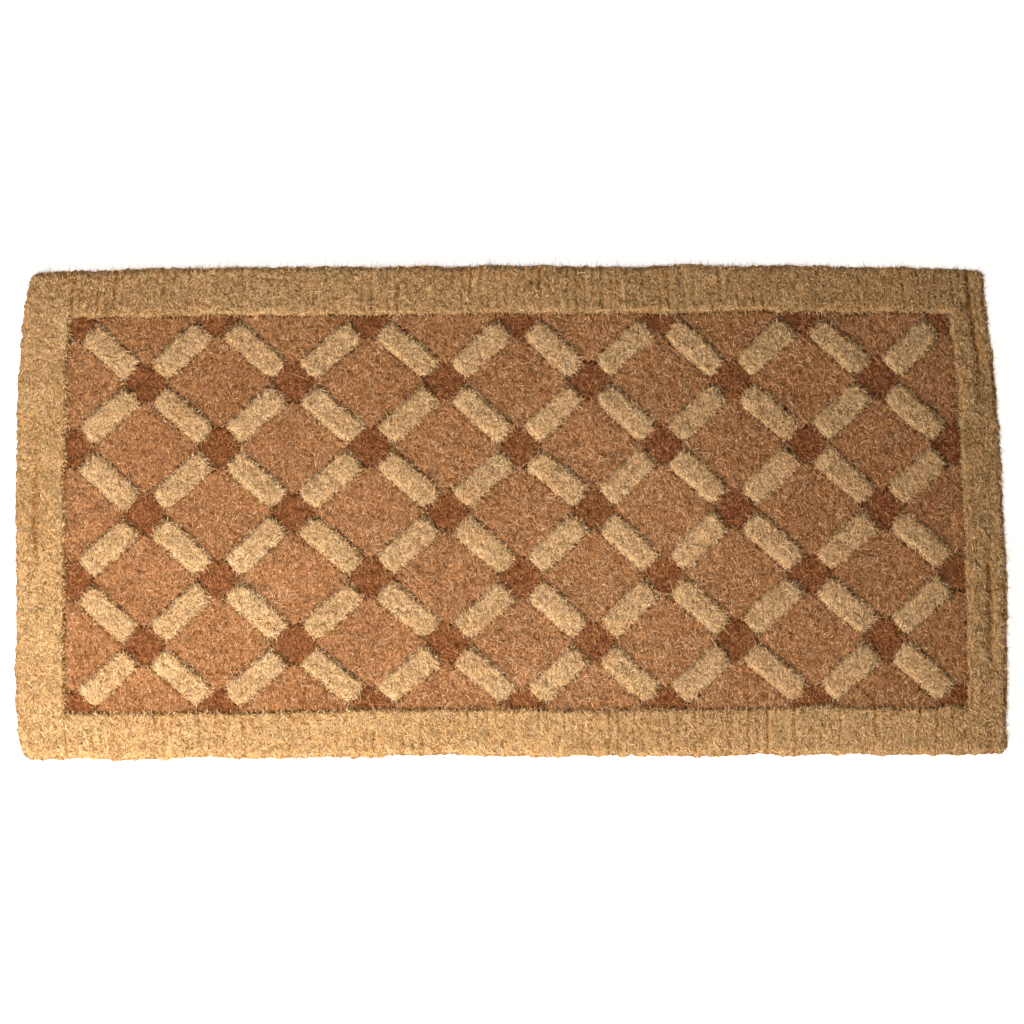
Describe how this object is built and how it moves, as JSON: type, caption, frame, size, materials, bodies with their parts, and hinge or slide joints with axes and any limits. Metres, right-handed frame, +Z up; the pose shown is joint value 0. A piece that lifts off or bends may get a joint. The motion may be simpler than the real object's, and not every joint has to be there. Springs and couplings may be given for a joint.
{
  "type": "door mat",
  "caption": "Thick rectangular hand-woven coir door mat with a plain border round a carved diagonal lattice of raised bars, lower panels and dark crossings.",
  "frame": {"origin": "on the floor under the middle of the mat, the middle of the bottom of its box", "axes": "+X along the mat's length to the right, +Y across it away from the person at the front edge, +Z up out of the pile"},
  "size_m": [1.219, 0.61, 0.04],
  "materials": {
    "natural_coir": "matt, coarse clipped fibre ends, undyed coir",
    "tan_coir": "matt, coarse clipped fibre ends, dyed tan",
    "brown_coir": "matt, coarse clipped fibre ends, dyed dark brown",
    "base_yarn": "matt, two-ply spun coir yarn",
    "braid_yarn": "matt, plaited coir yarn",
    "sewing_twine": "matt, thin plied twine"
  },
  "bodies": {
    "root": {"lower_warp_chains": "base_yarn", "upper_warp_chains": "base_yarn", "ground_weft": "base_yarn", "locking_weft": "base_yarn", "warp_end_knots_left": "base_yarn", "warp_end_knots_right": "base_yarn", "edge_braid_front": "braid_yarn", "edge_braid_back": "braid_yarn", "edge_braid_left": "braid_yarn", "edge_braid_right": "braid_yarn", "edge_stitches_front": "sewing_twine", "edge_stitches_back": "sewing_twine", "edge_stitches_left": "sewing_twine", "edge_stitches_right": "sewing_twine", "pile_border_front": "natural_coir", "pile_border_back": "natural_coir", "pile_border_left": "natural_coir", "pile_border_right": "natural_coir", "pile_bars_row_1": "natural_coir", "pile_bars_row_2": "natural_coir", "pile_bars_row_3": "natural_coir", "pile_bars_row_4": "natural_coir", "pile_bars_row_5": "natural_coir", "pile_bars_row_6": "natural_coir", "pile_crossings_row_1": "brown_coir", "pile_crossings_row_2": "brown_coir", "pile_crossings_row_3": "brown_coir", "pile_crossings_row_4": "brown_coir", "pile_crossings_row_5": "brown_coir", "pile_crossings_row_6": "brown_coir", "pile_crossings_row_7": "brown_coir", "pile_panels_row_1": "tan_coir", "pile_panels_row_2": "tan_coir", "pile_panels_row_3": "tan_coir", "pile_panels_row_4": "tan_coir", "pile_panels_row_5": "tan_coir", "pile_panels_row_6": "tan_coir", "pile_panels_row_7": "tan_coir"}
  },
  "joints": []
}
